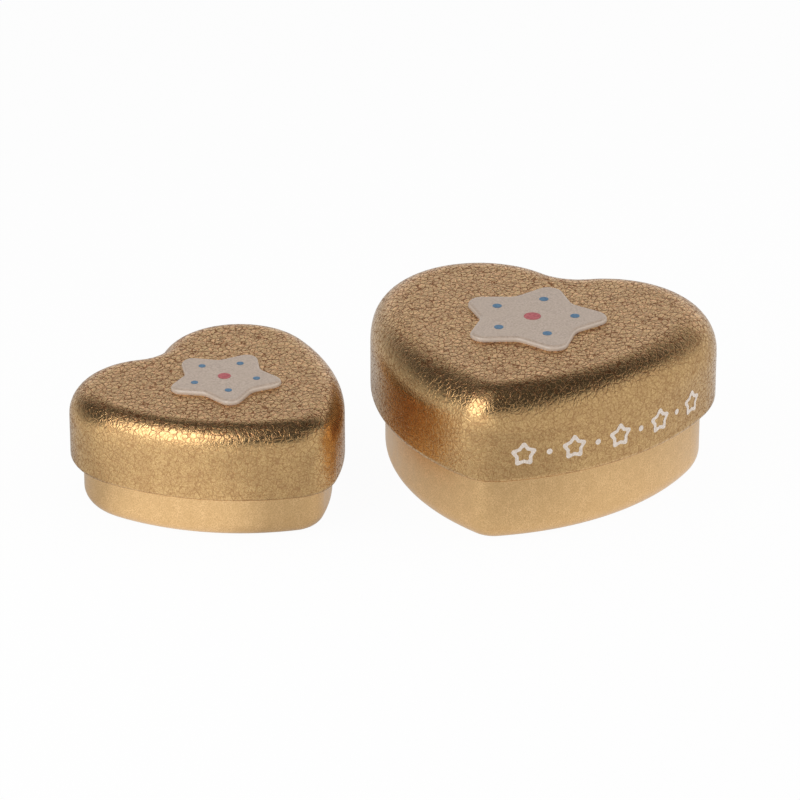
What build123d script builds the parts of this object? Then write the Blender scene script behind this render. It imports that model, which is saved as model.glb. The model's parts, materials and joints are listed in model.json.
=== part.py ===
from build123d import *
from dataclasses import dataclass
import math
import os

# A set of two heart-shaped keepsake tins for baby teeth, a large one and a small one.
# Each has a drawn base and a slip lid that lifts off. Millimetres, +Z up, the origin in the
# middle of the large tin's underside. The large heart points towards -Y.

# Sheet and fits that both tins share
SHEET = 0.25
SLIDE_CLEARANCE = 0.3
SEAT_GAP = 0.1
RIM_DIAMETER = 2.0

# Large tin: outline of the lid, seen from above
LARGE_WIDTH = 70.6
LARGE_LENGTH = 67.2
LARGE_LOBE_RADIUS = 22.0
LARGE_SIDE_RADIUS = 55.9
LARGE_CLEFT_RADIUS = 7.0
LARGE_TIP_RADIUS = 9.6

# Large tin: heights, roundings and the rolled hem
LARGE_HEIGHT = 33.0
LARGE_LID_DEPTH = 18.7
LARGE_CROWN_ROUNDING = 7.9
LARGE_FOOT_ROUNDING = 3.5
LARGE_HEM_DIAMETER = 2.7

# Small tin: the same sizes
SMALL_WIDTH = 56.5
SMALL_LENGTH = 53.2
SMALL_LOBE_RADIUS = 16.5
SMALL_SIDE_RADIUS = 49.4
SMALL_CLEFT_RADIUS = 6.1
SMALL_TIP_RADIUS = 9.4
SMALL_HEIGHT = 24.3
SMALL_LID_DEPTH = 15.1
SMALL_CROWN_ROUNDING = 5.7
SMALL_FOOT_ROUNDING = 3.0
SMALL_HEM_DIAMETER = 2.25

# Where the small tin stands beside the large one, and how far it is turned, in degrees
SMALL_X = -54.4
SMALL_Y = -24.8
SMALL_TURN = 62.0

# Stiffening bead pressed up into the floor, which stays flat on both sides of it
BEAD_LIFT = 0.5
BEAD_WIDTH = 1.8
BEAD_EDGE = 2.6
BEAD_TIP_RADIUS = 1.5

# Raised star in the lid, under a coat of enamel
LARGE_STAR_RADIUS = 17.0
LARGE_STAR_Y = 3.0
SMALL_STAR_RADIUS = 13.0
SMALL_STAR_Y = 1.6
STAR_ARMS = 5
STAR_VALLEY_SHARE = 0.6
STAR_TIP_ROUND_SHARE = 0.17
STAR_VALLEY_ROUND_SHARE = 0.22
STAR_LIFT = 0.8
STAR_EDGE_ROUNDING = 0.6
ENAMEL = 0.15

# Printed dots on the star: one in the middle, one on each arm
DOT_SHARE = 0.055
MIDDLE_DOT_SHARE = 0.1
DOT_RING_SHARE = 0.5
PRINT = 0.06

# Printed row of line-drawn stars and dots on the right side of the large lid's skirt
ROW_STARS = 5
ROW_STAR_RADIUS = 3.0
ROW_LINE = 0.7
ROW_DOT_RADIUS = 0.6
ROW_SPAN = 43.0
ROW_MIDDLE_ANGLE = -38.5


@dataclass
class Tin:
    """The sizes of one tin, lid included. Its outline follows the outside of the lid's skirt."""
    name: str
    plane: Plane
    width: float
    length: float
    lobe_radius: float
    side_radius: float
    cleft_radius: float
    tip_radius: float
    height: float
    lid_depth: float
    crown_rounding: float
    foot_rounding: float
    hem_diameter: float
    star_radius: float
    star_y: float

    @property
    def overhang(self):
        """From the skirt's outside to the base's wall: the rolled hem just clears the wall."""
        return self.hem_diameter + SLIDE_CLEARANCE

    @property
    def skirt_foot(self):
        """Height of the lid's lower edge."""
        return self.height - self.lid_depth

    @property
    def base_height(self):
        """The base's rolled rim carries the lid from inside its rounding, or from its flat crown."""
        rim_radius = RIM_DIAMETER / 2
        across = max(self.crown_rounding - self.overhang - rim_radius, 0)
        reach = self.crown_rounding - SHEET - SEAT_GAP - rim_radius
        rise = math.sqrt(reach ** 2 - across ** 2)
        return self.height - self.crown_rounding + rise + rim_radius

    @property
    def section(self):
        """The upright plane through the cleft and the tip, with x along the heart and y upwards."""
        return Plane(origin=self.plane.origin, x_dir=self.plane.y_dir, z_dir=self.plane.x_dir)

    def centres(self):
        """Centres of the right lobe, the cleft and the right side, whose arcs meet in line."""
        lobe = (self.width / 2 - self.lobe_radius, self.length / 2 - self.lobe_radius)
        tip = (0.0, self.tip_radius - self.length / 2)
        climb = math.sqrt((self.lobe_radius + self.cleft_radius) ** 2 - lobe[0] ** 2)
        cleft = (0.0, lobe[1] + climb)
        span = math.dist(lobe, tip)
        to_lobe = self.side_radius - self.lobe_radius
        to_tip = self.side_radius - self.tip_radius
        along = (to_lobe ** 2 - to_tip ** 2 + span ** 2) / (2 * span)
        across = math.sqrt(to_lobe ** 2 - along ** 2)
        step = ((tip[0] - lobe[0]) / span, (tip[1] - lobe[1]) / span)
        side_x = lobe[0] + along * step[0] + across * step[1]
        side_y = lobe[1] + along * step[1] - across * step[0]
        return lobe, cleft, (side_x, side_y)


def direction(start, end):
    """Angle of the line from start to end, in degrees."""
    return math.degrees(math.atan2(end[1] - start[1], end[0] - start[0]))


def draw_heart(tin, inset, tip_radius=None):
    """Draw the closed outline, inset from the skirt's outside, as eight arcs in the current line."""
    if tip_radius is None:
        tip_radius = tin.tip_radius - inset
    lobe, cleft, side = tin.centres()
    reach = tin.side_radius - inset - tip_radius
    tip = (0.0, side[1] - math.sqrt(reach ** 2 - side[0] ** 2))
    cleft_end = direction(cleft, lobe)
    lobe_start = direction(side, lobe)
    lobe_end = direction(lobe, cleft)
    tip_end = direction(side, tip)
    CenterArc(cleft, tin.cleft_radius + inset, -90, cleft_end + 90)
    CenterArc(lobe, tin.lobe_radius - inset, lobe_start, lobe_end - lobe_start)
    CenterArc(side, tin.side_radius - inset, tip_end, lobe_start - tip_end)
    CenterArc(tip, tip_radius, -90, tip_end + 90)
    mirror(about=Plane.YZ)


def heart_path(tin):
    """The outline of the lid's skirt on the floor, which the drawn sections follow."""
    with BuildLine(Plane.XY) as outline:
        draw_heart(tin, 0)
    return tin.plane.from_local_coords(outline.wires()[0])


def make_base(tin):
    """Drawn base: floor with a pressed bead, rounded foot, upright wall and inward rolled rim."""
    wall = tin.overhang - tin.length / 2
    foot = tin.foot_rounding
    rim = RIM_DIAMETER / 2
    rim_y = tin.base_height - rim
    floor_inset = tin.overhang + foot
    bead_inset = floor_inset + BEAD_EDGE

    with BuildSketch(tin.section) as profile:
        with BuildLine():
            Line((wall + foot, SHEET), (wall + foot, 0))
            CenterArc((wall + foot, foot), foot, -90, -90)
            Line((wall, foot), (wall, rim_y))
            CenterArc((wall + rim, rim_y), rim, 180, -270)
            Line((wall + rim, rim_y - rim), (wall + rim, rim_y - rim + SHEET))
            CenterArc((wall + rim, rim_y), rim - SHEET, -90, 270)
            Line((wall + SHEET, rim_y), (wall + SHEET, foot))
            CenterArc((wall + foot, foot), foot - SHEET, 180, 90)
        make_face()

    with BuildPart() as base:
        sweep(sections=profile.sketch, path=heart_path(tin))
        with BuildSketch(tin.plane):
            with BuildLine():
                draw_heart(tin, floor_inset)
            make_face()
        extrude(amount=SHEET)
        with BuildSketch(tin.plane):
            with BuildLine():
                draw_heart(tin, bead_inset, BEAD_TIP_RADIUS + BEAD_WIDTH)
            make_face()
            with BuildLine():
                draw_heart(tin, bead_inset + BEAD_WIDTH, BEAD_TIP_RADIUS)
            make_face(mode=Mode.SUBTRACT)
        extrude(amount=BEAD_LIFT + SHEET)
        with BuildSketch(tin.plane):
            with BuildLine():
                draw_heart(tin, bead_inset + SHEET, BEAD_TIP_RADIUS + BEAD_WIDTH - SHEET)
            make_face()
            with BuildLine():
                draw_heart(tin, bead_inset + BEAD_WIDTH - SHEET, BEAD_TIP_RADIUS + SHEET)
            make_face(mode=Mode.SUBTRACT)
        extrude(amount=BEAD_LIFT, mode=Mode.SUBTRACT)

    base.part.label = f"{tin.name}_base"
    export_step(base.part, f"parts/{tin.name}_base.step")
    return base


def draw_star(radius):
    """Draw a star with rounded tips and valleys in the current line."""
    points = []
    roundings = []
    for corner in range(2 * STAR_ARMS):
        is_tip = corner % 2 == 0
        angle = math.radians(90 + corner * 180 / STAR_ARMS)
        reach = radius if is_tip else radius * STAR_VALLEY_SHARE
        points.append((reach * math.cos(angle), reach * math.sin(angle)))
        roundings.append(radius * (STAR_TIP_ROUND_SHARE if is_tip else STAR_VALLEY_ROUND_SHARE))
    FilletPolyline(points, radius=roundings, close=True)


def inner_star_radius(radius, line):
    """Radius of the star whose flanks lie one line's width inside those of the given star."""
    step = math.pi / STAR_ARMS
    across = STAR_VALLEY_SHARE * math.sin(step)
    flank_share = across / math.hypot(1 - STAR_VALLEY_SHARE * math.cos(step), across)
    return radius - line / flank_share


def star_plane(tin, height):
    """Level plane at a height of the tin, centred on its star."""
    centre = tin.plane.from_local_coords((0, tin.star_y, height))
    return Plane(centre, x_dir=tin.plane.x_dir, z_dir=tin.plane.z_dir)


def make_star_pad(tin, grown):
    """Solid star that stands on the lid's crown, its upper edge rounded."""
    with BuildPart() as pad:
        with BuildSketch(star_plane(tin, tin.height)):
            with BuildLine():
                draw_star(tin.star_radius)
            make_face()
            if grown:
                offset(amount=grown, mode=Mode.REPLACE)
        extrude(amount=STAR_LIFT + grown)
        top = pad.faces().sort_by(Axis.Z)[-1]
        fillet(top.edges(), STAR_EDGE_ROUNDING + grown)
    return pad.part


def make_lid(tin):
    """Slip lid: flat crown with the raised star, deep rounding, skirt and inward rolled hem."""
    skirt = -tin.length / 2
    crown = tin.crown_rounding
    crown_y = tin.height - crown
    hem = tin.hem_diameter / 2
    hem_y = tin.skirt_foot + hem

    with BuildSketch(tin.section) as profile:
        with BuildLine():
            Line((skirt + crown, tin.height), (skirt + crown, tin.height - SHEET))
            CenterArc((skirt + crown, crown_y), crown - SHEET, 90, 90)
            Line((skirt + SHEET, crown_y), (skirt + SHEET, hem_y))
            CenterArc((skirt + hem, hem_y), hem - SHEET, 180, 270)
            Line((skirt + hem, hem_y + hem - SHEET), (skirt + hem, hem_y + hem))
            CenterArc((skirt + hem, hem_y), hem, 90, -270)
            Line((skirt, hem_y), (skirt, crown_y))
            CenterArc((skirt + crown, crown_y), crown, 180, -90)
        make_face()

    with BuildPart() as lid:
        sweep(sections=profile.sketch, path=heart_path(tin))
        with BuildSketch(tin.plane.offset(tin.height - SHEET)):
            with BuildLine():
                draw_heart(tin, tin.crown_rounding)
            make_face()
        extrude(amount=SHEET)
        add(make_star_pad(tin, 0))
        with BuildSketch(star_plane(tin, tin.height - SHEET)):
            with BuildLine():
                draw_star(tin.star_radius)
            make_face()
            offset(amount=-STAR_EDGE_ROUNDING, mode=Mode.REPLACE)
        extrude(amount=STAR_LIFT, mode=Mode.SUBTRACT)

    lid.part.label = f"{tin.name}_lid"
    export_step(lid.part, f"parts/{tin.name}_lid.step")
    return lid


def make_star_enamel(tin):
    """Coat of enamel over the raised star and down its edge."""
    with BuildPart() as enamel:
        add(make_star_pad(tin, ENAMEL))
        add(make_star_pad(tin, 0), mode=Mode.SUBTRACT)
    enamel.part.label = f"{tin.name}_star_enamel"
    export_step(enamel.part, f"parts/{tin.name}_star_enamel.step")
    return enamel


def make_star_dots(tin):
    """Printed dots on the enamel, one on each arm of the star."""
    with BuildPart() as dots:
        with BuildSketch(star_plane(tin, tin.height + STAR_LIFT + ENAMEL)):
            with PolarLocations(tin.star_radius * DOT_RING_SHARE, STAR_ARMS, start_angle=90):
                Circle(tin.star_radius * DOT_SHARE)
        extrude(amount=PRINT)
    dots.part.label = f"{tin.name}_star_dots"
    export_step(dots.part, f"parts/{tin.name}_star_dots.step")
    return dots


def make_star_middle(tin):
    """Printed dot in the middle of the star."""
    with BuildPart() as middle:
        with BuildSketch(star_plane(tin, tin.height + STAR_LIFT + ENAMEL)):
            Circle(tin.star_radius * MIDDLE_DOT_SHARE)
        extrude(amount=PRINT)
    middle.part.label = f"{tin.name}_star_middle"
    export_step(middle.part, f"parts/{tin.name}_star_middle.step")
    return middle


def make_skirt_row(tin):
    """Printed row of star outlines and dots, which follows the curve of the skirt's right side."""
    _, _, side = tin.centres()
    skirt_top = tin.height - tin.crown_rounding
    middle_height = (tin.skirt_foot + tin.hem_diameter / 2 + skirt_top) / 2
    places = 2 * ROW_STARS - 1
    with BuildPart() as row:
        for place in range(places):
            angle = math.radians(ROW_MIDDLE_ANGLE + ROW_SPAN * (place / (places - 1) - 1 / 2))
            outward = (math.cos(angle), math.sin(angle), 0)
            along = (-math.sin(angle), math.cos(angle), 0)
            point = (
                side[0] + tin.side_radius * outward[0],
                side[1] + tin.side_radius * outward[1],
                middle_height,
            )
            with BuildSketch(Plane(point, x_dir=along, z_dir=outward)):
                if place % 2 == 0:
                    with BuildLine():
                        draw_star(ROW_STAR_RADIUS)
                    make_face()
                    with BuildLine():
                        draw_star(inner_star_radius(ROW_STAR_RADIUS, ROW_LINE))
                    make_face(mode=Mode.SUBTRACT)
                else:
                    Circle(ROW_DOT_RADIUS)
            extrude(amount=ROW_STAR_RADIUS, both=True)
        with BuildSketch(tin.plane.offset(tin.skirt_foot)):
            with Locations(side):
                Circle(tin.side_radius + PRINT)
                Circle(tin.side_radius, mode=Mode.SUBTRACT)
        extrude(amount=tin.lid_depth, mode=Mode.INTERSECT)
    row.part.label = f"{tin.name}_skirt_row"
    export_step(row.part, f"parts/{tin.name}_skirt_row.step")
    return row


large = Tin(
    name="large",
    plane=Plane.XY,
    width=LARGE_WIDTH,
    length=LARGE_LENGTH,
    lobe_radius=LARGE_LOBE_RADIUS,
    side_radius=LARGE_SIDE_RADIUS,
    cleft_radius=LARGE_CLEFT_RADIUS,
    tip_radius=LARGE_TIP_RADIUS,
    height=LARGE_HEIGHT,
    lid_depth=LARGE_LID_DEPTH,
    crown_rounding=LARGE_CROWN_ROUNDING,
    foot_rounding=LARGE_FOOT_ROUNDING,
    hem_diameter=LARGE_HEM_DIAMETER,
    star_radius=LARGE_STAR_RADIUS,
    star_y=LARGE_STAR_Y,
)

turn = math.radians(SMALL_TURN)
small = Tin(
    name="small",
    plane=Plane((SMALL_X, SMALL_Y, 0), x_dir=(math.cos(turn), math.sin(turn), 0), z_dir=(0, 0, 1)),
    width=SMALL_WIDTH,
    length=SMALL_LENGTH,
    lobe_radius=SMALL_LOBE_RADIUS,
    side_radius=SMALL_SIDE_RADIUS,
    cleft_radius=SMALL_CLEFT_RADIUS,
    tip_radius=SMALL_TIP_RADIUS,
    height=SMALL_HEIGHT,
    lid_depth=SMALL_LID_DEPTH,
    crown_rounding=SMALL_CROWN_ROUNDING,
    foot_rounding=SMALL_FOOT_ROUNDING,
    hem_diameter=SMALL_HEM_DIAMETER,
    star_radius=SMALL_STAR_RADIUS,
    star_y=SMALL_STAR_Y,
)

os.makedirs("parts", exist_ok=True)
for tin in (large, small):
    make_base(tin)
    make_lid(tin)
    make_star_enamel(tin)
    make_star_dots(tin)
    make_star_middle(tin)
    print(f"{tin.name} tin: overhang {tin.overhang:.2f}, base height {tin.base_height:.2f}")
make_skirt_row(large)
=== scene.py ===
import json
import math
from dataclasses import dataclass

import bpy
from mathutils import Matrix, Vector


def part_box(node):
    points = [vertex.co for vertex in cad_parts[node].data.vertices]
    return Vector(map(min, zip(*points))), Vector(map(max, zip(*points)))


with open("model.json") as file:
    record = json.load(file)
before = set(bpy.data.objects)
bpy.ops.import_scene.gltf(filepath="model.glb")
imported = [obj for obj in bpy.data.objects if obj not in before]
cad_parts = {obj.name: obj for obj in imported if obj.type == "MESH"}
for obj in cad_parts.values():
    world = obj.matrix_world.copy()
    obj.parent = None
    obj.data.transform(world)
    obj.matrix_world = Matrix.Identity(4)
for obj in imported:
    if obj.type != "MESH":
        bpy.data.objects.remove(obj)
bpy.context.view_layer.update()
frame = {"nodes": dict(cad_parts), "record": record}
nodes = frame["nodes"]

MM = 0.001
WHITE = (1, 1, 1, 1)

# Camera: the photograph's viewing angle, distance and focal length
AZIMUTH = math.radians(17.1)
ELEVATION = math.radians(26.0)
DISTANCE = 1021 * MM
PIXELS_PER_MM = 4.8
PICTURE_SIZE = 800
SENSOR = 36.0
TARGET = Vector((-34.5 * MM, 25.3 * MM, 0))

# Lamps. Bearings and elevations are in degrees, and a bearing counts to the right from the camera's.
KEY_BEARING = -53
KEY_ELEVATION = 44
KEY_DISTANCE = 260 * MM
KEY_SIZE = 155 * MM
KEY_POWER = 0.19
BOUNCE_BEARING = 80
BOUNCE_ELEVATION = 50
BOUNCE_DISTANCE = 350 * MM
BOUNCE_SIZE = 300 * MM
BOUNCE_POWER = 0.42

# What matt surfaces get from the room, and the pale side walls and dark ceiling that the metal mirrors
FILL = 0.46
SIDE_WALLS = 0.74
CEILING = 0.012

# Haze of light that the softbox spreads on the ceiling, from its middle outwards in degrees
HAZE = 0.4
HAZE_BEARING = -90
HAZE_ELEVATION = 73
HAZE_FULL = 8
HAZE_WIDEST = 26

# Floor: white paper. For these shares of the camera's and the metal's view it shines by itself instead,
# and the rest keeps the shadows.
FLOOR_SIZE = 6.0
PAPER = (0.88, 0.88, 0.88, 1)
CAMERA_SHARE = 0.96
MIRRORED_SHARE = 0.8

# The gold lacquer scatters a little of the light instead of mirroring it
METALLIC = 0.94


@dataclass
class Wall:
    """One side of the room as the metal mirrors it. It fades to its neighbours between two angles from
    its bearing, in degrees, and to the ceiling between two heights, as sines of the elevation."""
    bearing: float
    widest: float
    full: float
    bright_below: float
    dark_above: float
    strength: float


# The later ones lie over the earlier ones
FRONT = Wall(bearing=10, widest=90, full=70, bright_below=0.54, dark_above=0.66, strength=0.64)
REFLECTOR = Wall(bearing=75, widest=40, full=20, bright_below=0.64, dark_above=0.82, strength=0.7)
BEHIND = Wall(bearing=180, widest=55, full=20, bright_below=0.25, dark_above=0.86, strength=0.86)
BELOW_KEY = Wall(bearing=-42, widest=48, full=18, bright_below=0.26, dark_above=0.72, strength=1.2)
SHADE = Wall(bearing=-122, widest=36, full=14, bright_below=0.0, dark_above=0.6, strength=0.42)
WALLS = (FRONT, REFLECTOR, BEHIND, BELOW_KEY, SHADE)


def linear(red, green, blue):
    """A colour named by its 0 to 255 screen values, as the shaders take it."""
    channels = []
    for value in (red, green, blue):
        share = value / 255
        if share <= 0.04045:
            channels.append(share / 12.92)
        else:
            channels.append(((share + 0.055) / 1.055) ** 2.4)
    return (*channels, 1.0)


def direction(azimuth, elevation):
    """Unit vector from the object, azimuth in radians from -Y towards +X."""
    level = math.cos(elevation)
    return Vector((math.sin(azimuth) * level, -math.cos(azimuth) * level, math.sin(elevation)))


def from_camera(bearing, elevation=0):
    """Unit vector from the object, in degrees, the bearing to the right from the camera's."""
    return direction(AZIMUTH + math.radians(bearing), math.radians(elevation))


class Nodes:
    """Short calls for building one node tree."""

    def __init__(self, tree):
        self.tree = tree
        tree.nodes.clear()

    def add(self, kind, inputs=None, **settings):
        made = self.tree.nodes.new(kind)
        for name, value in settings.items():
            setattr(made, name, value)
        for name, value in (inputs or {}).items():
            socket = made.inputs[name]
            if isinstance(value, bpy.types.NodeSocket):
                self.tree.links.new(value, socket)
            else:
                socket.default_value = value
        return made

    def math(self, operation, *values):
        return self.add("ShaderNodeMath", dict(enumerate(values)), operation=operation).outputs[0]

    def vector(self, operation, *values):
        made = self.add("ShaderNodeVectorMath", dict(enumerate(values)), operation=operation)
        return made.outputs["Value" if operation in ("DOT_PRODUCT", "DISTANCE") else "Vector"]

    def mix(self, share, first, second):
        return self.add("ShaderNodeMix", {0: share, 6: first, 7: second}, data_type="RGBA").outputs[2]

    def blend(self, share, first, second):
        return self.add("ShaderNodeMix", {0: share, 2: first, 3: second}, data_type="FLOAT").outputs[0]

    def mix_shader(self, share, first, second):
        return self.add("ShaderNodeMixShader", {0: share, 1: first, 2: second}).outputs[0]

    def ramp(self, value, low, high, start=0.0, end=1.0):
        inputs = {0: value, 1: low, 2: high, 3: start, 4: end}
        return self.add("ShaderNodeMapRange", inputs, interpolation_type="SMOOTHSTEP").outputs[0]

    def line(self, distance, width, strength=1.0):
        """Full on the edges of a net of cells, and gone at the width from them."""
        return self.ramp(distance, 0.0, width, strength, 0.0)

    def facing(self, way, aim, widest, full, strength=1.0):
        """Rises from 0 to the strength as the way turns to the aim, between two angles in degrees."""
        turned = self.vector("DOT_PRODUCT", way, aim)
        return self.ramp(turned, math.cos(math.radians(widest)), math.cos(math.radians(full)), 0.0, strength)

    def background(self, strength):
        return self.add("ShaderNodeBackground", {"Color": WHITE, "Strength": strength}).outputs[0]

    def place(self):
        return self.add("ShaderNodeTexCoord").outputs["Object"]

    def upward(self):
        """1 on a level face, 0 on an upright one."""
        normal = self.add("ShaderNodeNewGeometry").outputs["Normal"]
        return self.add("ShaderNodeSeparateXYZ", {0: normal}).outputs["Z"]

    def noise(self, place, per_metre, detail, output="Fac"):
        inputs = {"Vector": place, "Scale": per_metre, "Detail": detail}
        return self.add("ShaderNodeTexNoise", inputs).outputs[output]

    def warp(self, place, per_metre, reach):
        """The place, pushed about by up to half the reach."""
        bend = self.noise(place, per_metre, detail=2.0, output="Color")
        centred = self.vector("SUBTRACT", bend, (0.5, 0.5, 0.5))
        return self.vector("ADD", place, self.vector("MULTIPLY", centred, (reach, reach, reach)))

    def cell_edge(self, place, per_metre):
        """Distance to the nearest edge of a net of cells, as a share of a cell."""
        inputs = {"Vector": place, "Scale": per_metre}
        return self.add("ShaderNodeTexVoronoi", inputs, feature="DISTANCE_TO_EDGE").outputs["Distance"]

    def bump(self, height, depth, normal=None):
        inputs = {"Height": height, "Distance": depth}
        if normal is not None:
            inputs["Normal"] = normal
        return self.add("ShaderNodeBump", inputs).outputs[0]


def make_camera():
    camera = bpy.data.objects.new("camera", bpy.data.cameras.new("camera"))
    bpy.context.scene.collection.objects.link(camera)
    back = direction(AZIMUTH, ELEVATION)
    focal_pixels = PIXELS_PER_MM * DISTANCE / MM
    camera.data.sensor_width = SENSOR
    camera.data.lens = focal_pixels / PICTURE_SIZE * SENSOR
    camera.data.clip_start = DISTANCE / 10
    camera.data.clip_end = DISTANCE * 10
    camera.location = TARGET + back * DISTANCE
    camera.rotation_euler = back.to_track_quat("Z", "Y").to_euler()
    bpy.context.scene.camera = camera


def make_lamp(name, bearing, elevation, distance, size, power):
    lamp = bpy.data.objects.new(name, bpy.data.lights.new(name, "AREA"))
    bpy.context.scene.collection.objects.link(lamp)
    way = from_camera(bearing, elevation)
    lamp.location = way * distance
    lamp.rotation_euler = way.to_track_quat("Z", "Y").to_euler()
    lamp.data.size = size
    lamp.data.energy = power
    return lamp


def make_world():
    """White behind the object. For what the metal mirrors, pale walls under a dark ceiling."""
    world = bpy.data.worlds.new("studio")
    bpy.context.scene.world = world
    world.use_nodes = True
    n = Nodes(world.node_tree)
    way = n.add("ShaderNodeTexCoord").outputs["Generated"]
    height = n.add("ShaderNodeSeparateXYZ", {0: way}).outputs["Z"]
    level = n.vector("NORMALIZE", n.vector("MULTIPLY", way, (1, 1, 0)))

    room = n.ramp(height, low=0.0, high=0.7, start=SIDE_WALLS, end=CEILING)
    for wall in WALLS:
        brightness = n.ramp(height, wall.bright_below, wall.dark_above, wall.strength, CEILING)
        room = n.blend(n.facing(level, from_camera(wall.bearing), wall.widest, wall.full), room, brightness)
    haze = n.facing(way, from_camera(HAZE_BEARING, HAZE_ELEVATION), HAZE_WIDEST, HAZE_FULL, HAZE)
    room = n.math("MAXIMUM", room, haze)

    ray = n.add("ShaderNodeLightPath").outputs
    by_gloss = n.mix_shader(ray["Is Glossy Ray"], n.background(FILL), n.background(room))
    by_camera = n.mix_shader(ray["Is Camera Ray"], by_gloss, n.background(1.0))
    n.add("ShaderNodeOutputWorld", {"Surface": by_camera})


def new_material(name):
    material = bpy.data.materials.new(name)
    material.use_nodes = True
    return material, Nodes(material.node_tree)


def finish_material(n, inputs):
    shader = n.add("ShaderNodeBsdfPrincipled", inputs)
    n.add("ShaderNodeOutputMaterial", {"Surface": shader.outputs[0]})


def floor_middle(node):
    low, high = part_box(node)
    middle = (low + high) / 2
    middle.z = 0
    return middle


def make_floor():
    """White for the camera. The metal mirrors painted pools of light and painted shade round the tins, and a
    painted pool of light below the softbox.
    """
    bpy.ops.mesh.primitive_plane_add(size=FLOOR_SIZE)
    floor = bpy.context.object
    floor.name = "floor"
    material, n = new_material("floor_white")
    place = n.place()

    # Bearings from the camera's in degrees, distances in mm
    large = floor_middle("large_base")
    small = floor_middle("small_base")
    below_key = from_camera(KEY_BEARING, KEY_ELEVATION) * KEY_DISTANCE
    below_key.z = 0
    behind_large = from_camera(165) * 100 * MM
    before_small = small + from_camera(-22) * 42 * MM
    before_tip = from_camera(5) * 64 * MM

    def ringed(middle, inner, outer, near, far=0.0):
        """Strength within the inner radius and beyond the outer one, both in mm."""
        return n.ramp(n.vector("DISTANCE", place, middle), inner * MM, outer * MM, near, far)

    # Painted light: the floor glows in pools below the softbox, before the small tin and behind the large
    # tin
    painted_light_pools = n.math("MAXIMUM", ringed(below_key, inner=50, outer=150, near=1.15),
                   ringed(before_small, inner=14, outer=43, near=1.04))
    painted_light_pools = n.math("MAXIMUM", painted_light_pools, ringed(behind_large, inner=50, outer=110, near=0.92))
    # Painted light and shade: the floor glows brighter round the large tin and is painted darker round the
    # small tin, as its shadow
    painted_light_and_shade_round_tins = n.math("MULTIPLY", ringed(large, inner=34, outer=56, near=1.34, far=1.04),
                        ringed(small, inner=30, outer=80, near=0.5, far=0.66))
    # Painted shade on the floor before the large tin's tip
    painted_light_and_shade_round_tins = n.math("MULTIPLY", painted_light_and_shade_round_tins, ringed(before_tip, inner=14, outer=46, near=0.7, far=1.0))
    mirrored = n.math("MAXIMUM", painted_light_pools, painted_light_and_shade_round_tins)

    ray = n.add("ShaderNodeLightPath").outputs
    strength = n.blend(ray["Is Camera Ray"], mirrored, 1.0)
    shining = n.add("ShaderNodeEmission", {"Color": WHITE, "Strength": strength}).outputs[0]
    paper = n.add("ShaderNodeBsdfDiffuse", {"Color": PAPER}).outputs[0]
    share = n.math("ADD", n.math("MULTIPLY", ray["Is Camera Ray"], CAMERA_SHARE),
                   n.math("MULTIPLY", ray["Is Glossy Ray"], MIRRORED_SHARE))
    n.add("ShaderNodeOutputMaterial", {"Surface": n.mix_shader(share, paper, shining)})
    floor.data.materials.append(material)


def make_crackle_gold():
    """Gold lacquer crazed into a fine broken net of creases, whose brown is fainter on the skirt than on the
    top, with glints painted on the top.
    """
    material, n = new_material("crackle_gold")
    place = n.place()
    stretched = n.vector("MULTIPLY", place, (1.1, 0.8, 1.0))
    bent = n.warp(n.warp(stretched, per_metre=450, reach=0.9 * MM), per_metre=1900, reach=0.45 * MM)
    flat = n.ramp(n.upward(), 0.5, 0.98)

    def by_slope(skirt, top):
        return n.blend(flat, skirt, top)

    edge = n.cell_edge(bent, per_metre=840)
    fine_edge = n.cell_edge(bent, per_metre=1800)
    # Where the coarse net is whole, the fine one between its creases is faint
    whole = n.ramp(n.noise(place, per_metre=1100, detail=1.0), 0.36, 0.56)
    crease = n.math("MULTIPLY", n.line(edge, width=0.14), n.ramp(whole, 0.0, 1.0, start=0.45, end=1.0))
    fine_crease = n.math("MULTIPLY", n.line(fine_edge, width=0.2, strength=0.5),
                         n.ramp(whole, 0.0, 1.0, start=1.0, end=0.4))
    creases = n.math("MAXIMUM", crease, fine_crease)
    grain = n.noise(place, per_metre=4600, detail=1.0)
    mottle = n.ramp(n.noise(stretched, per_metre=3000, detail=1.0), 0.34, 0.66)
    painted_glints = n.ramp(n.noise(bent, per_metre=1700, detail=1.0), 0.5, 0.64)
    clouds = n.ramp(n.noise(place, per_metre=380, detail=1.0), 0.3, 0.7, 0.2, 0.0)

    # Colour: mottled lacquer, pale strokes painted on the top as highlights for the glints of its crinkles,
    # brown in the creases and pale brown clouds
    mottled = n.blend(by_slope(skirt=0.86, top=1.0), 0.56, mottle)
    lacquer = n.mix(mottled, linear(204, 165, 109), linear(236, 197, 138))
    # Painted highlight: the pale strokes go only where the lid faces up
    bright = n.mix(n.math("MULTIPLY", painted_glints, flat), lacquer, linear(255, 200, 144))
    # The creases' brown is stronger on the top than on the skirt
    creases_by_slope = n.math("MULTIPLY", creases, by_slope(skirt=0.4, top=0.9))
    crazed = n.mix(creases_by_slope, bright, linear(140, 80, 42))
    colour = n.mix(clouds, crazed, linear(160, 110, 70))
    at_grazing = n.mix(n.math("MULTIPLY", creases, 0.7), WHITE, linear(136, 108, 86))

    # Relief in mm: each cell swells a little, the creases are sunk, and a fine grain lies over all
    swell = n.math("MULTIPLY", n.ramp(edge, 0.0, 0.4), 0.01)
    sunk = n.math("MULTIPLY", creases, by_slope(skirt=0.026, top=0.042))
    rough = n.math("MULTIPLY", grain, by_slope(skirt=0.02, top=0.014))
    relief = n.math("ADD", n.math("SUBTRACT", swell, sunk), rough)
    finish_material(n, {
        "Base Color": colour, "Metallic": METALLIC, "Roughness": n.ramp(creases, 0.0, 1.0, 0.18, 0.34),
        "Specular Tint": at_grazing, "Normal": n.bump(relief, MM), "Coat Weight": 0.3, "Coat Roughness": 0.4,
    })
    return material


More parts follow.
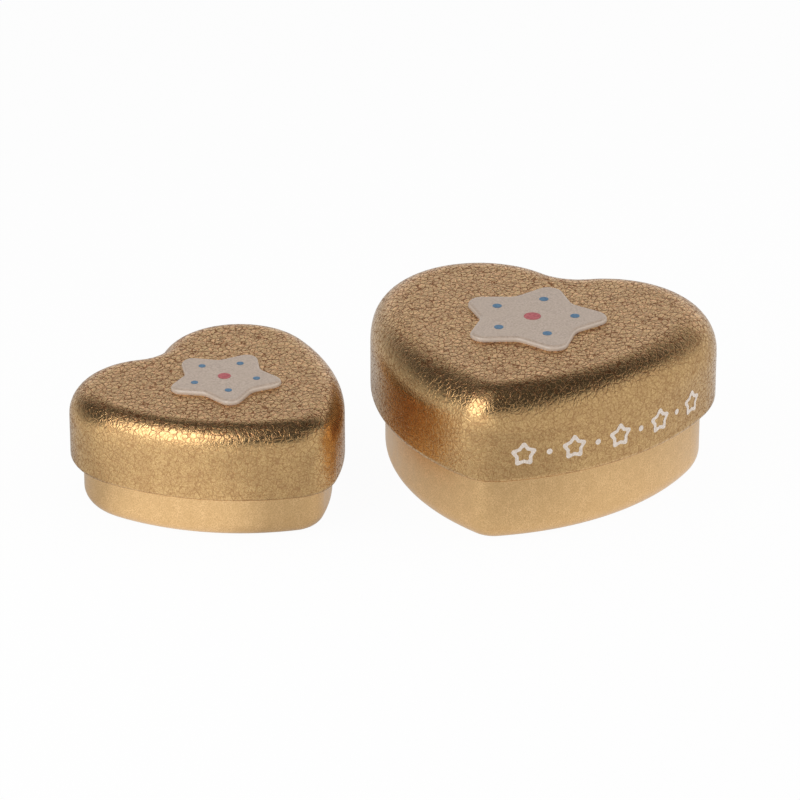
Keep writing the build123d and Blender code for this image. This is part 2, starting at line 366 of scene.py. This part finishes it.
def make_satin_gold():
    """Smooth satin gold lacquer with a fine grain and the faint waves of drawn sheet."""
    material, n = new_material("satin_gold")
    place = n.place()
    grain = n.noise(place, per_metre=3600, detail=2.0)
    waves = n.noise(place, per_metre=90, detail=1.0)
    clouds = n.noise(place, per_metre=420, detail=3.0)
    speckle = n.ramp(n.noise(place, per_metre=4200, detail=1.0), 0.3, 0.7)
    clouded = n.mix(n.ramp(clouds, 0.35, 0.65), linear(240, 199, 141), linear(252, 211, 153))
    colour = n.mix(speckle, linear(222, 180, 124), clouded)
    waved = n.bump(waves, 0.15 * MM)
    finish_material(n, {
        "Base Color": colour, "Metallic": METALLIC, "Roughness": n.ramp(clouds, 0.3, 0.7, 0.3, 0.38),
        "Normal": n.bump(grain, 0.04 * MM, waved), "Coat Weight": 0.3, "Coat Roughness": 0.25,
    })
    return material


def make_enamel():
    """Warm grey enamel, faintly grainy, with a painted sheen where it rolls over the star's edge."""
    material, n = new_material("cream_enamel")
    place = n.place()
    grain = n.noise(place, per_metre=2600, detail=3.0)
    clouds = n.ramp(n.noise(place, per_metre=300, detail=2.0), 0.3, 0.7, 0.0, 0.5)
    # Painted sheen: where the enamel tilts over the star's edge it is painted paler
    edge = n.ramp(n.upward(), 0.55, 0.9, 0.7, 0.0)
    speckled = n.mix(n.ramp(grain, 0.35, 0.65), linear(170, 150, 134), linear(193, 173, 156))
    clouded = n.mix(clouds, speckled, linear(185, 165, 147))
    finish_material(n, {
        "Base Color": n.mix(edge, clouded, linear(226, 210, 194)), "Roughness": 0.45,
        "Normal": n.bump(grain, 0.01 * MM), "Coat Weight": 0.6, "Coat Roughness": 0.15,
    })
    return material


def make_print(name, light, dark):
    """Printed ink, a little uneven where it was laid on the grain below."""
    material, n = new_material(name)
    grain = n.noise(n.place(), per_metre=2200, detail=3.0)
    colour = n.mix(n.ramp(grain, 0.35, 0.65), dark, light)
    finish_material(n, {"Base Color": colour, "Roughness": 0.5, "Normal": n.bump(grain, 0.006 * MM)})
    return material


bpy.context.scene.view_settings.view_transform = "Standard"
make_camera()
make_world()
make_floor()
make_lamp("softbox", KEY_BEARING, KEY_ELEVATION, KEY_DISTANCE, KEY_SIZE, KEY_POWER)
bounce = make_lamp("bounce", BOUNCE_BEARING, BOUNCE_ELEVATION, BOUNCE_DISTANCE, BOUNCE_SIZE, BOUNCE_POWER)
bounce.visible_glossy = False

finishes = {
    "satin_gold_tinplate": make_satin_gold(),
    "crackle_gold_tinplate": make_crackle_gold(),
    "cream_enamel": make_enamel(),
    "blue_print": make_print("blue_print", linear(92, 128, 156), linear(70, 108, 140)),
    "rose_print": make_print("rose_print", linear(190, 100, 104), linear(168, 78, 84)),
    "white_print": make_print("white_print", linear(250, 237, 225), linear(236, 221, 207)),
}
for subpart in frame["record"]["subparts"]:
    piece = nodes[subpart["node"]]
    piece.data.materials.clear()
    piece.data.materials.append(finishes[subpart["material_slot"]])
